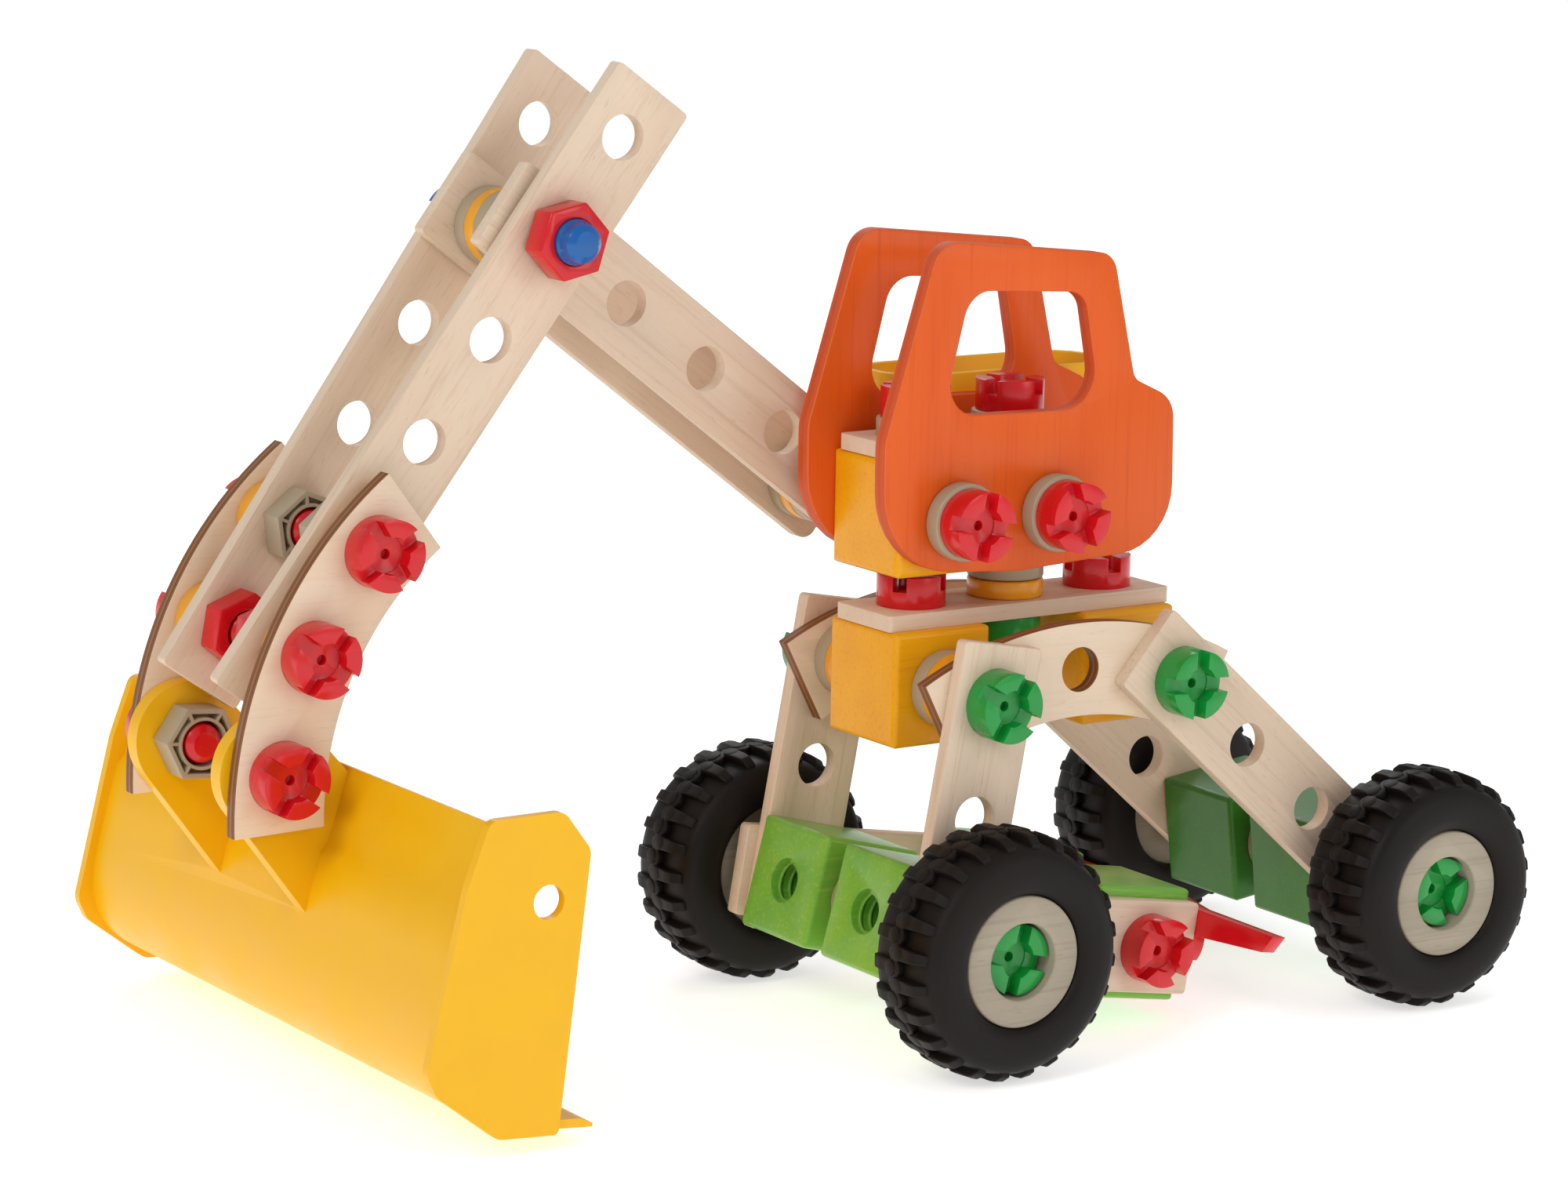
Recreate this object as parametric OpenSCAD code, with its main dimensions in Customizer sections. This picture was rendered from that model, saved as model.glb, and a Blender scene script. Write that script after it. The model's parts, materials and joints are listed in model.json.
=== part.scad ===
// Toy backhoe loader made from a wooden construction kit.
// Forward (towards the bucket) is +X, the vehicle's left is +Y, the ground is Z = 0.

/* [Kit grid] */
// Distance between neighbouring holes
pitch = 30; // [28:0.5:32]
// Thickness of the flat wooden slats
slat_t = 4.2; // [3.6:0.1:4.6]
// Width of the flat wooden slats
slat_w = 24.4; // [22:0.2:26]
// Distance from the last hole to the end of a slat
slat_end = 15; // [14:0.5:16]
// Radius of every bolt hole
hole_r = 5.8; // [5.7:0.05:6]
// Radial play between a bolt and its hole
bolt_play = 0.05; // [0.02:0.01:0.1]
// Side length of the threaded cubes
cube_s = 30; // [29:0.5:30]

/* [Small parts] */
// Thickness of one spacer ring
ring_t = 4.8; // [4.6:0.1:5]
// Outer radius of the spacer rings
ring_r = 10; // [9:0.5:11]
// Radius of the castle-shaped bolt heads
head_r = 9; // [8.5:0.1:9.2]
// Height of the castle-shaped bolt heads
head_h = 8.2; // [7.5:0.1:8.4]
// Distance across the flats of the hexagonal nuts
nut_af = 17.6; // [16:0.2:18]
// Thickness of the hexagonal nuts
nut_t = 8; // [6:0.5:9]

/* [Chassis] */
// Forward lean of the front legs, from vertical
front_lean = 10.5; // [8:0.5:16]
// Slope of the lower side slats, down towards the rear
lower_slope = 9.5; // [8:0.5:11]
// Tilt of the front axle cubes
front_cube_tilt = 15; // [0:1:18]
// Tilt of the rear axle cubes
rear_cube_tilt = -7; // [-10:1:10]

/* [Cab] */
// Thickness of the cab's side panels
panel_t = 4.8; // [4:0.1:5]
// Height of the tray on the far side of the cab
tray_h = 16; // [12:1:18]

/* [Arm] */
// Lean of the boom, from vertical
boom_lean = 53; // [48:1:56]
// Lean of the stick, from vertical
stick_lean = 35.3; // [30:1:40]
// Free width between the two boom slats
boom_gap = 24; // [24:0.5:26]
// Width of the bucket over its side plates
bucket_w = 191; // [150:1:195]

// Sideways lean of the left stick slat towards the right one, per hole
toe_in = 2.2; // [0:0.1:2.4]

/* [Wheels] */
// Outer radius of the tyres
tyre_r = 31.7; // [29:0.1:32]
// Width of the tyres
tyre_w = 26.6; // [22:0.2:27]
// Radius of the wooden wheel discs
hub_r = 16.8; // [15:0.2:18]
// Number of tread bars on each shoulder
tread_n = 24; // [12:1:30]

/* [Hidden] */

// where the swing axis stands in the model's frame
ox = -44.3;
oy = 32;
gap = 0.3;
e = 0.01;
pin_r = hole_r - bolt_play;
half = cube_s / 2;
// side stacks
leg_in = half + 3 * ring_t + slat_t;     // inner face of a leg
leg_out = leg_in + slat_t;
cube_gap = 2 * (leg_in - cube_s);        // free width between two axle cubes
// heights
axle_z = tyre_r;
rear_lean = acos(2 * pitch * cos(front_lean) / (3 * pitch));
hi_z = axle_z + 2 * pitch * cos(front_lean);   // cross holes of the chassis cubes
front_x = pitch + 2 * pitch * sin(front_lean);
rear_x = -pitch - 3 * pitch * sin(rear_lean);
deck_z = hi_z + half + slat_t;           // top of the chassis slat
cab_z = deck_z + 2 * ring_t + gap;       // underside of the cab block
cab_hole_z = cab_z + half;
cab_top_z = cab_z + cube_s;
// layers of the arm, measured along Y from the middle of the vehicle
panel_y = -half - panel_t;               // outer face of the right-hand panel
boom_l = panel_y - ring_t - gap;         // left face of the left boom slat
boom_r = boom_l - 2 * slat_t - boom_gap; // right face of the right boom slat
toe_room = 1.4;                          // keeps the leaning slat clear of the boom
stick_l = boom_l + gap + toe_room;       // right face of the left stick slat, at the elbow
function slat_l(i) = stick_l - toe_in * (i - 2);   // and at its hole i
lean_room = 0.85;                        // keeps flat rings and nuts clear of the leaning slat
stick_r = boom_r - gap;                  // left face of the right stick slat
arm_mid = (boom_l + boom_r) / 2;
foot_end = 13;
// points of the arm in the X-Z plane
elbow = [pitch + 4 * pitch * sin(boom_lean), cab_hole_z + 4 * pitch * cos(boom_lean)];
function along(i) = elbow + (i - 2) * pitch * [sin(stick_lean), -cos(stick_lean)];
arc_r = 92.5;
arc_step = 2 * asin(pitch / (2 * arc_r));
deck_arc = asin(pitch / arc_r);
bucket_lean = stick_lean - arc_step;
pivot = along(6) + pitch * [sin(bucket_lean), -cos(bucket_lean)];
lug_t = 5;                               // thickness of the bucket's ears

// ---------- shared shapes ----------
module place() translate([ox, oy, 0]) children();

// rectangle with rounded corners between two opposite corners
module rrect(x0, y0, x1, y1, r) {
    translate([x0 + r, y0]) square([x1 - x0 - 2 * r, y1 - y0]);
    translate([x0, y0 + r]) square([x1 - x0, y1 - y0 - 2 * r]);
    for (x = [x0 + r, x1 - r], y = [y0 + r, y1 - r]) translate([x, y]) circle(r, $fn = 32);
}

// upright plate: 2D x,y become X,Z and the thickness runs from Y = 0 to Y = t
module upright(t) translate([0, t, 0]) rotate([90, 0, 0]) linear_extrude(t) children();

// bore along Y
module bore_y(x, z, y0, y1, r = hole_r)
    translate([x, y0, z]) rotate([-90, 0, 0]) cylinder(r = r, h = y1 - y0, $fn = 64);

// slat with n holes, first hole at the origin, running along +X, thickness 0..slat_t along Y
module slat(n, m1 = slat_end, m2 = slat_end, r1 = 1.2)
    difference() {
        upright(slat_t) rrect(-m1, -slat_w / 2, (n - 1) * pitch + m2, slat_w / 2, r1);
        for (i = [0 : n - 1]) bore_y(i * pitch, 0, -1, slat_t + 1);
    }

// curved plate with three holes at the angles -st, 0 and st; the middle hole is at the origin
module arc_plate(st, t = slat_t) {
    half_a = st + 14 / arc_r * 180 / PI;
    difference() {
        upright(t) translate([0, -arc_r]) intersection() {
            difference() {
                circle(arc_r + slat_w / 2, $fn = 128);
                circle(arc_r - slat_w / 2, $fn = 128);
            }
            polygon([[0, 0], [-200 * sin(half_a), 200 * cos(half_a)], [200 * sin(half_a), 200 * cos(half_a)]]);
        }
        for (a = [-st, 0, st])
            bore_y(arc_r * sin(a), arc_r * cos(a) - arc_r, -1, t + 1);
    }
}

// cube with softened edges, centred, with the listed bore directions
module block(lx, ly, lz, r = 1.6)
    intersection() {
        translate([0, 0, -lz / 2]) linear_extrude(lz) rrect(-lx / 2, -ly / 2, lx / 2, ly / 2, r);
        translate([0, -ly / 2, 0]) upright(ly) rrect(-lx / 2, -lz / 2, lx / 2, lz / 2, r);
        translate([-lx / 2, 0, 0]) rotate([90, 0, 90]) linear_extrude(lx) rrect(-ly / 2, -lz / 2, ly / 2, lz / 2, r);
    }

module cube_with_holes(crossed = true) difference() {
    block(cube_s, cube_s, cube_s);
    bore_y(0, 0, -half - 1, half + 1);
    if (crossed) translate([-half - 1, 0, 0]) rotate([0, 90, 0]) cylinder(r = hole_r, h = cube_s + 2, $fn = 64);
}

// spacer ring along +Z from 0 to h
module ring(h = ring_t, r = ring_r) difference() {
    cylinder(r = r, h = h, $fn = 64);
    translate([0, 0, -1]) cylinder(r = hole_r + 0.1, h = h + 2, $fn = 64);
}

// ring along Y from y0 to y0 + h
module ring_y(x, y0, z, h = ring_t, r = ring_r)
    translate([x, y0, z]) rotate([-90, 0, 0]) ring(h, r);

// castle-headed bolt: head stands on Z = 0 and points up, shank runs down
module castle(len, r = pin_r) difference() {
    rotate_extrude($fn = 64) polygon([[0, -len], [r - 2.6, -len], [r - 0.9, 1.4 - len], [r - 0.6, 4 - len], [r, 5 - len], [r, 0], [head_r, 0], [head_r, head_h],
        [4.7, head_h], [4.7, 4], [1.3, 4], [1.3, 1.5], [0, 1.5]]);
    for (a = [0, 90]) rotate([0, 0, a + 20])
        translate([-head_r - 1, -1.9, 4.4]) cube([2 * head_r + 2, 3.8, head_h]);
}

// bolt whose head's seat is at y and whose head points towards +Y (s = 1) or -Y (s = -1)
module castle_y(x, y, z, s, len, turn = 0)
    translate([x, y, z]) rotate([-90 * s, 0, 0]) rotate([0, 0, turn]) castle(len);

// hexagonal nut along Y from y0, with its bore open
module nut_y(x, y0, z, t = nut_t, turn = 0)
    translate([x, y0, z]) rotate([-90, 0, 0]) rotate([0, 0, turn]) difference() {
        cylinder(r = nut_af / sqrt(3), h = t, $fn = 6);
        translate([0, 0, -1]) cylinder(r = hole_r, h = t + 2, $fn = 64);
    }

// ---------- chassis ----------
module chassis_slat() place() color("burlywood") difference() {
    translate([0, 0, deck_z - slat_t]) linear_extrude(slat_t)
        rrect(-pitch - slat_end, -slat_w / 2, pitch + slat_end, slat_w / 2, 1.2);
    for (x = [-pitch, 0, pitch]) translate([x, 0, deck_z - slat_t - 1]) cylinder(r = hole_r, h = slat_t + 2, $fn = 64);
}

module chassis_cubes() place() color("orange")
    for (x = [-pitch, pitch]) translate([x, 0, hi_z]) difference() {
        block(cube_s - 0.2, cube_s, cube_s);
        bore_y(0, 0, -half - 1, half + 1);
        translate([0, 0, -half - 1]) cylinder(r = hole_r, h = cube_s + 2, $fn = 64);
    }

module chassis_grey_rings() place() color("darkgray")
    for (x = [-pitch, pitch], s = [-1, 1], k = [0, 2])
        ring_y(x, s > 0 ? half + k * ring_t : -half - (k + 1) * ring_t, hi_z);

// side rings, and the lower ring of the turntable
module chassis_yellow_rings() place() color("goldenrod") {
    for (x = [-pitch, pitch], s = [-1, 1])
        ring_y(x, s > 0 ? half + ring_t : -half - 2 * ring_t, hi_z);
    translate([0, 0, deck_z]) ring();
}

module deck_bracket(y0) place() color("wheat")
    translate([0, y0, hi_z + arc_r - arc_r * cos(deck_arc)]) arc_plate(deck_arc);
module bracket_left() deck_bracket(half + 3 * ring_t);
module bracket_right() deck_bracket(-leg_in);

module front_leg(y0) place() color("burlywood")
    translate([pitch, y0, hi_z]) rotate([0, 90 - front_lean, 0]) slat(3);
module front_leg_left() front_leg(leg_in);
module front_leg_right() front_leg(-leg_out);

module rear_leg(y0) place() color("burlywood")
    translate([-pitch, y0, hi_z]) rotate([0, 90 + rear_lean, 0]) slat(4);
module rear_leg_left() rear_leg(leg_in);
module rear_leg_right() rear_leg(-leg_out);

module leg_screws() place() color("green")
    for (x = [-pitch, pitch], s = [-1, 1]) castle_y(x, s * leg_out, hi_z, s, leg_out - 8, x + s * 7);

module deck_screws() place() color("red")
    for (x = [-pitch, pitch]) translate([x, 0, deck_z]) rotate([0, 0, x > 0 ? 15 : -25]) castle(14);

module axle_pair(x, z, tilt, crossed) place() color("limegreen")
    for (s = [-1, 1]) translate([x, s * (leg_in - half), z]) rotate([0, -tilt, 0]) cube_with_holes(crossed);
module front_axle_cubes() axle_pair(front_x, axle_z, front_cube_tilt, true);
module rear_axle_cubes() axle_pair(rear_x, axle_z, rear_cube_tilt, false);

module axle_cube_spacers() place() color("darkgray") {
    for (x = [front_x, rear_x]) ring_y(x, -cube_gap / 2, axle_z, cube_gap);
    ring_y(tail_x, cube_s - leg_out, tail_z, 2 * (leg_out - cube_s));
}

// front wheels run on one washer outside the lower slat, rear wheels on a pair of washers
front_wash = ring_t;
rear_wash = slat_t + ring_t;
module axle_washers() place() color("darkgray") {
    for (s = [-1, 1]) {
        ring_y(front_x, s > 0 ? leg_out + slat_t : -leg_out - slat_t - front_wash, axle_z, front_wash);
        ring_y(rear_x, s > 0 ? leg_out : -leg_out - rear_wash, axle_z, rear_wash);
    }
}

hub_in = leg_out + rear_wash + gap;      // inner face of a wheel disc
hub_web = 9.8;                           // thickness of the disc behind its recess
hub_out = hub_in + 20.4;
module axle_screws() place() color("green")
    for (x = [front_x, rear_x], s = [-1, 1])
        castle_y(x, s * (hub_in + hub_web + gap), axle_z, s, hub_in + hub_web + gap - 8, x + s * 15);

tail_x = front_x - 2 * pitch * cos(lower_slope);
tail_z = axle_z - 2 * pitch * sin(lower_slope);
module lower_slat(y0) place() color("burlywood")
    translate([front_x, y0, axle_z]) rotate([0, 180 - lower_slope, 0]) slat(3);
module lower_slat_left() lower_slat(leg_out);
module lower_slat_right() lower_slat(-leg_out - slat_t);

module tail_cubes() place() color("limegreen")
    for (s = [-1, 1]) translate([tail_x, s * (leg_out - half), tail_z]) rotate([0, -lower_slope, 0]) cube_with_holes();

module tail_side_screws() place() color("red")
    for (s = [-1, 1]) castle_y(tail_x, s * (leg_out + slat_t), tail_z, s, 26, 10);

// bar across the rear faces of the tail cubes; its left end narrows into a lever
bar_t = 4.2;
bar_h = slat_w / 2 - 0.6;
module tail_bar() place() color("red")
    translate([tail_x, 0, tail_z]) rotate([0, -lower_slope, 0]) translate([-half - bar_t, 0, 0]) difference() {
        rotate([90, 0, 90]) linear_extrude(bar_t)
            polygon([[-leg_in, -bar_h], [leg_in - 4, -bar_h], [leg_in - 2, 2 - bar_h], [leg_in - 2, -0.5], [leg_in + 2, 3],
                [leg_in + 35.5, 5.4], [leg_in + 39, 10.2], [leg_in + 8, 10.6], [leg_in - 2, bar_h + 0.4], [-leg_in, bar_h + 0.4]]);
        for (s = [-1, 1]) translate([-1, s * (leg_out - half), 0]) rotate([0, 90, 0]) cylinder(r = hole_r, h = bar_t + 2, $fn = 64);
    }

module tail_bar_screw() place() color("red")
    translate([tail_x, 0, tail_z]) rotate([0, -lower_slope, 0])
        for (s = [-1, 1]) translate([-half - bar_t, s * (leg_out - half), 0]) rotate([0, -90, 0]) rotate([0, 0, 30]) castle(12);

// ---------- cab ----------
module cab_block() place() color("orange") difference() {
    translate([half, 0, cab_hole_z]) block(2 * cube_s, cube_s, cube_s, 2);
    for (x = [0, pitch]) {
        bore_y(x, cab_hole_z, -half - 1, half + 1);
        translate([x, 0, cab_z - 1]) cylinder(r = hole_r, h = cube_s + 2, $fn = 64);
    }
}

module cab_slat() place() color("burlywood") difference() {
    translate([0, 0, cab_top_z]) linear_extrude(slat_t)
        rrect(-slat_end, -slat_w / 2, pitch + slat_end, slat_w / 2, 1.2);
    for (x = [0, pitch]) translate([x, 0, cab_top_z - 1]) cylinder(r = hole_r, h = slat_t + 2, $fn = 64);
}

// outline of a cab side panel: corner points with their rounding radii
panel_pts = [[52.6, 123, 22], [52.8, 156, 14], [37.2, 206.2, 7.5], [-17.6, 200.5, 6], [-25.5, 167.5, 4.5],
    [-38.6, 161.5, 8], [-39.4, 122.6, 17], [10, 120, 30]];
window_pts = [[35.6, 161.5, 8.5], [27.5, 193.2, 8], [-8.6, 191, 6], [-14.6, 160.6, 9.5]];

// outline with a rounding radius of its own at each corner
function unit(v) = v / norm(v);
function corner(p, q, n, r, k = 8) = let (
    a = unit(p - q), b = unit(n - q), h = acos(a * b) / 2,
    c = q + unit(a + b) * r / sin(h), u = q + a * r / tan(h) - c, v = q + b * r / tan(h) - c,
    s = atan2(u[1], u[0]), d0 = atan2(v[1], v[0]) - s, d = d0 > 180 ? d0 - 360 : d0 < -180 ? d0 + 360 : d0)
    [for (i = [0 : k]) c + r * [cos(s + d * i / k), sin(s + d * i / k)]];
function xy(p) = [p[0], p[1]];
module round_poly(pts) {
    n = len(pts);
    polygon([for (i = [0 : n - 1]) each corner(xy(pts[(i + n - 1) % n]), xy(pts[i]), xy(pts[(i + 1) % n]), pts[i][2])]);
}

module cab_panel(y0) place() color("orangered") translate([0, y0, 0]) difference() {
    upright(panel_t) difference() {
        round_poly(panel_pts);
        round_poly(window_pts);
    }
    for (x = [0, pitch]) bore_y(x, cab_hole_z, -1, panel_t + 1);
}
module cab_panel_left() cab_panel(half);
module cab_panel_right() cab_panel(panel_y);

module cab_washers() place() color("darkgray") {
    for (x = [0, pitch]) {
        translate([x, 0, cab_top_z + slat_t]) ring();
        ring_y(x, half + panel_t, cab_hole_z);
    }
    ring_y(pitch, panel_y - ring_t, cab_hole_z);
}

module cab_side_screws() place() color("red") {
    for (x = [0, pitch]) castle_y(x, half + panel_t + ring_t, cab_hole_z, 1, 16, x * 2);
    castle_y(0, panel_y - tray_wall, cab_hole_z, -1, 12, 10);
}

module cab_top_screw() place() color("red")
    translate([pitch, 0, cab_top_z + slat_t + ring_t]) rotate([0, 0, 25]) castle(16);

// long bolt that carries the cab and turns with it
module turntable_bolt() place() color("red")
    translate([0, 0, cab_top_z + slat_t + ring_t])
        castle(cab_top_z + slat_t + ring_t - (deck_z - slat_t - gap - nut_t));

module turntable_upper_ring() place() color("darkgray")
    translate([0, 0, deck_z + ring_t + gap]) ring();

module turntable_nut() place() color("green")
    translate([0, 0, deck_z - slat_t - gap - nut_t]) difference() {
        cylinder(r = 9.6, h = nut_t, $fn = 64);
        translate([0, 0, -1]) cylinder(r = hole_r, h = nut_t + 2, $fn = 64);
    }

// foot bolt of the boom, screwed into the block from the right
module boom_foot_bolt() place() color("red")
    castle_y(pitch, boom_r - gap, cab_hole_z, -1, -boom_r + gap - 6);

// open tray hung on the outside of the right-hand panel by the rear side screw
tray_wall = 2;
tray_top = cab_top_z + 16;
module tray_outline(d)
    rrect(-53 + d, panel_y - 28 + d, 20 - d, panel_y - d, 12 - d);
module side_tray() place() color("gold") difference() {
    union() {
        difference() {
            translate([0, 0, tray_top - tray_h]) linear_extrude(tray_h) tray_outline(0);
            translate([0, 0, tray_top - tray_h + tray_wall]) linear_extrude(tray_h) tray_outline(tray_wall);
        }
        translate([0, panel_y - tray_wall, 0]) upright(tray_wall) rrect(-10.5, cab_hole_z - 10.5, 8, tray_top - 4, 2);
    }
    bore_y(0, cab_hole_z, panel_y - tray_wall - 1, panel_y + 1);
}

// ---------- boom ----------
module boom_slat(y0) place() color("burlywood")
    translate([pitch, y0, cab_hole_z]) rotate([0, boom_lean - 90, 0]) difference() {
        upright(slat_t) union() {
            rrect(0, -slat_w / 2, 4 * pitch + slat_end, slat_w / 2, 1.2);
            rrect(-foot_end, -slat_w / 2, 2 * pitch, slat_w / 2, 4);
        }
        for (i = [0 : 4]) bore_y(i * pitch, 0, -1, slat_t + 1);
    }
module boom_slat_left() boom_slat(boom_l - slat_t);
module boom_slat_right() boom_slat(boom_r);

ring_g = boom_gap / 5;
module boom_grey_rings() place() color("darkgray")
    for (c = [[pitch, cab_hole_z], elbow], k = [0, 2, 4])
        ring_y(c[0], boom_r + slat_t + k * ring_g, c[1], ring_g);
module boom_yellow_rings() place() color("goldenrod")
    for (c = [[pitch, cab_hole_z], elbow], k = [1, 3])
        ring_y(c[0], boom_r + slat_t + k * ring_g, c[1], ring_g);

// ---------- stick ----------
module stick_slat(y0, lean) place() color("burlywood")
    translate([elbow[0], y0, elbow[1]]) rotate([0, 90 - stick_lean, 0]) difference() {
        rotate([0, 0, -lean]) translate([-pitch, 0, 0]) upright(slat_t)
            rrect(-slat_end, -slat_w / 2, 5 * pitch + slat_end + 2, slat_w / 2, 1.2);
        for (i = [-1 : 4]) bore_y(i * pitch, 0, -15, 15);
    }
module stick_slat_left() stick_slat(stick_l, atan(toe_in / pitch));
module stick_slat_right() stick_slat(stick_r - slat_t, 0);

stick_out_l = stick_l + slat_t;          // outer faces of the stick
stick_out_r = stick_r - slat_t;

module elbow_bolt() place() color("royalblue")
    castle_y(elbow[0], stick_out_r, elbow[1], -1, stick_out_l + lean_room - stick_out_r + nut_t + 5.5);
module elbow_nut() place() color("red")
    nut_y(elbow[0], stick_out_l + lean_room, elbow[1], nut_t, 12);

module stick_bracket(y0) place() color("wheat") {
    a = 90 - stick_lean + arc_step / 2;
    translate([along(6)[0], y0, along(6)[1]]) rotate([0, a, 0]) arc_plate(arc_step);
}
brk_l = slat_l(5) + slat_t + lean_room + ring_t + slat_t;   // outer faces of the curved plates
brk_r = stick_out_r - 2 * ring_t - slat_t;
module stick_bracket_left() stick_bracket(brk_l - slat_t);
module stick_bracket_right() stick_bracket(brk_r);

module stick_rings() place() color("goldenrod")
    for (i = [5, 6], y = [brk_l - slat_t - ring_t, stick_out_r - ring_t, stick_out_r - 2 * ring_t])
        ring_y(along(i)[0], y, along(i)[1]);

module stick_screws() place() color("red")
    for (i = [5, 6]) {
        castle_y(along(i)[0], brk_l, along(i)[1], 1, brk_l - slat_l(i) + lean_room + nut_t + 1, i * 20);
        castle_y(along(i)[0], brk_r, along(i)[1], -1, stick_r - brk_r + nut_t + 1, i * 20);
    }

module stick_nuts(i, turn) place()
    for (y = [slat_l(i) - lean_room - nut_t, stick_r]) nut_y(along(i)[0], y, along(i)[1], nut_t, turn);
module stick_grey_nuts() color("darkgray") stick_nuts(5, 8);
module stick_red_nuts() color("red") stick_nuts(6, 20);

lug_out_l = brk_l - slat_t - gap;        // outer faces of the bucket's ears
lug_out_r = brk_r + slat_t + gap;
lug_in_l = lug_out_l - lug_t;            // inner faces of the ears
lug_in_r = lug_out_r + lug_t;

module bucket_pivot_screws() place() color("red")
    for (s = [-1, 1])
        castle_y(pivot[0], s > 0 ? brk_l : brk_r, pivot[1], s, slat_t + 2 * gap + lug_t + nut_t + 1, 35);
module bucket_pivot_nuts() place() color("darkgray")
    for (y = [lug_in_l - gap - nut_t, lug_in_r + gap]) nut_y(pivot[0], y, pivot[1], nut_t, 25);

// ---------- bucket, drawn in X-Z with the pivot at the origin ----------
plate_pts = [[-17.6, 1.6, 3], [-37.6, 1.6, 4], [-45, -8.4, 4], [-36.6, -76.9, 1.5], [-20, -75.6, 5],
    [-3.5, -62.8, 5], [-0.9, -57, 5], [-11.6, -14, 20]];
// smooth curve through control points
function spline(p, i, t) = let (a = p[max(i - 1, 0)], b = p[i], c = p[i + 1], d = p[min(i + 2, len(p) - 1)])
    0.5 * (2 * b + (c - a) * t + (2 * a - 5 * b + 4 * c - d) * t * t + (3 * b - a - 3 * c + d) * t * t * t);
shell_ctl = [[-12.4, -21.6], [-8.6, -35.5], [-5.4, -49], [-5.6, -58.5], [-10, -66.4], [-17.5, -71.8], [-27, -74.6], [-46.6, -76.6]];
shell_out = concat([[-20.8, -0.6], [-14.6, -19.2]],
    [for (i = [0 : len(shell_ctl) - 2], k = [0 : 3]) spline(shell_ctl, i, k / 4)], [shell_ctl[len(shell_ctl) - 1]]);
shell_t = 2.2;
function nrm(p, i) = let (a = p[max(i - 1, 0)], b = p[min(i + 1, len(p) - 1)], d = unit(b - a)) [d[1], -d[0]];
module bucket_shell_2d() {
    n = len(shell_out);
    inner = [for (i = [n - 1 : -1 : 0]) shell_out[i] + nrm(shell_out, i) * (i == n - 1 ? 0.9 : shell_t)];
    polygon(concat(shell_out, inner));
}
module ear_2d() {
    circle(14.5, $fn = 64);
    polygon([[11.65, -8.65], [-9, -36.4], [-13, -36], [-15.6, -22], [-21, -2.5], [-9, 11.37], [0, 0]]);
}
module bucket() place() color("gold") translate([pivot[0], arm_mid, pivot[1]]) {
    w = bucket_w;
    difference() {
        union() {
            translate([0, -w / 2 + 1, 0]) upright(w - 2) bucket_shell_2d();
            for (y = [-w / 2, w / 2 - 2.6]) translate([0, y, 0]) difference() {
                upright(2.6) round_poly(plate_pts);
                bore_y(-33.5, -19.7, -1, 4, 4.2);
            }
            for (y = [lug_in_l, lug_out_r]) translate([0, y - arm_mid, 0]) upright(lug_t) ear_2d();
        }
        bore_y(0, 0, -60, 60);
    }
}

// ---------- wheels: axis along Y, outer face towards s ----------
module hub(x, s) place() color("tan")
    translate([x, s > 0 ? hub_in : -hub_in, axle_z]) rotate([-90 * s, 0, 0]) difference() {
        union() {
            cylinder(r = hub_r, h = hub_out - hub_in, $fn = 96);
        }
        translate([0, 0, -1]) cylinder(r = hole_r, h = 30, $fn = 64);
        translate([0, 0, hub_web]) cylinder(r = 9.8, h = 20, $fn = 64);
    }
// tyre: side walls and crown turned in one piece, with bars cut to a rounded envelope
tyre_mid = hub_out - 11.6;
module tyre(x, s) place() color("dimgray")
    translate([x, s * tyre_mid, axle_z]) rotate([-90 * s, 0, 0]) {
        w = tyre_w / 2;
        rotate_extrude($fn = 96) polygon([[hub_r, -w + 3], [hub_r + 1, -w + 1.2], [hub_r + 3.2, -w], [tyre_r - 5.5, -w + 0.3],
            [tyre_r - 3.2, -w + 1.8], [tyre_r - 2.3, -w + 4], [tyre_r - 2, 0], [tyre_r - 2.3, w - 4], [tyre_r - 3.2, w - 1.8],
            [tyre_r - 5.5, w - 0.3], [hub_r + 3.2, w], [hub_r + 1, w - 1.2], [hub_r, w - 3]]);
        intersection() {
            rotate_extrude($fn = 96) polygon([[tyre_r - 6, -w + 2], [tyre_r - 2.4, -w + 2], [tyre_r - 0.8, -w + 4], [tyre_r, -w + 6],
                [tyre_r, w - 6], [tyre_r - 0.8, w - 4], [tyre_r - 2.4, w - 2], [tyre_r - 6, w - 2]]);
            for (k = [0 : tread_n - 1], q = [-1, 1])
                rotate([0, 0, (k + (q > 0 ? 0.5 : 0)) * 360 / tread_n])
                    translate([tyre_r - 5, -1.6, q > 0 ? -0.4 : -w + 1]) cube([6, 3.2, w - 0.6]);
        }
    }
module hub_front_left() hub(front_x, 1);
module tyre_front_left() tyre(front_x, 1);
module hub_front_right() hub(front_x, -1);
module tyre_front_right() tyre(front_x, -1);
module hub_rear_left() hub(rear_x, 1);
module tyre_rear_left() tyre(rear_x, 1);
module hub_rear_right() hub(rear_x, -1);
module tyre_rear_right() tyre(rear_x, -1);

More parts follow.
